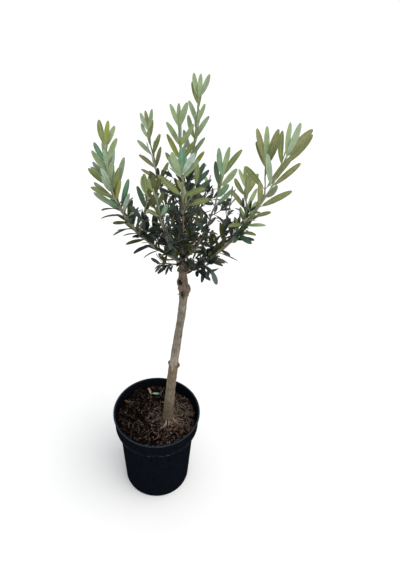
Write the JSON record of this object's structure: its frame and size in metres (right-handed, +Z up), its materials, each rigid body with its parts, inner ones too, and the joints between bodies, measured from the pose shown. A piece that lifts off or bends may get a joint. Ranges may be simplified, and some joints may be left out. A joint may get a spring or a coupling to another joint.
{
  "type": "potted olive tree",
  "caption": "Young standard olive tree: a clear leaning stem with an open, airy crown of upright leafy shoots, in a round black nursery pot of compost.",
  "frame": {"origin": "centre of the pot's flat underside, on the surface that it stands on", "axes": "+Z up; +X to the side that the stem leans to and the longest bough reaches; -Y towards the tree's front"},
  "size_m": [0.3544, 0.2787, 1.0514],
  "materials": {
    "pot": "satin black moulded plastic, dusty and lightly scuffed",
    "compost": "dark peat compost with bark chips and fine pale roots",
    "bark": "grey-brown young bark, matt, with small lenticels",
    "young_bark": "smooth grey-green to tan young bark, matt",
    "leaves": "leathery grey-green leaves with silvery undersides, satin"
  },
  "bodies": {
    "root": {"pot": "pot", "soil": "compost", "trunk": "bark", "bough_leader": "bark", "bough_right": "bark", "bough_left": "young_bark", "bough_left_inner": "young_bark", "bough_upper_left": "young_bark", "bough_spire_left": "young_bark", "bough_spire": "young_bark", "bough_front": "young_bark", "bough_front_left": "young_bark", "bough_front_right": "young_bark", "bough_back_right": "young_bark", "bough_back": "young_bark", "bough_back_left": "young_bark", "bough_right_inner": "young_bark", "bough_right_back": "young_bark", "bough_low_right": "young_bark", "bough_low_left": "young_bark", "foliage_heart": "leaves", "foliage_right": "leaves", "foliage_left": "leaves", "foliage_left_inner": "leaves", "foliage_upper_left": "leaves", "foliage_spire_left": "leaves", "foliage_spire": "leaves", "foliage_front": "leaves", "foliage_front_left": "leaves", "foliage_front_right": "leaves", "foliage_back_right": "leaves", "foliage_back": "leaves", "foliage_back_left": "leaves", "foliage_right_inner": "leaves", "foliage_right_back": "leaves", "foliage_low_right": "leaves", "foliage_low_left": "leaves"}
  },
  "joints": []
}
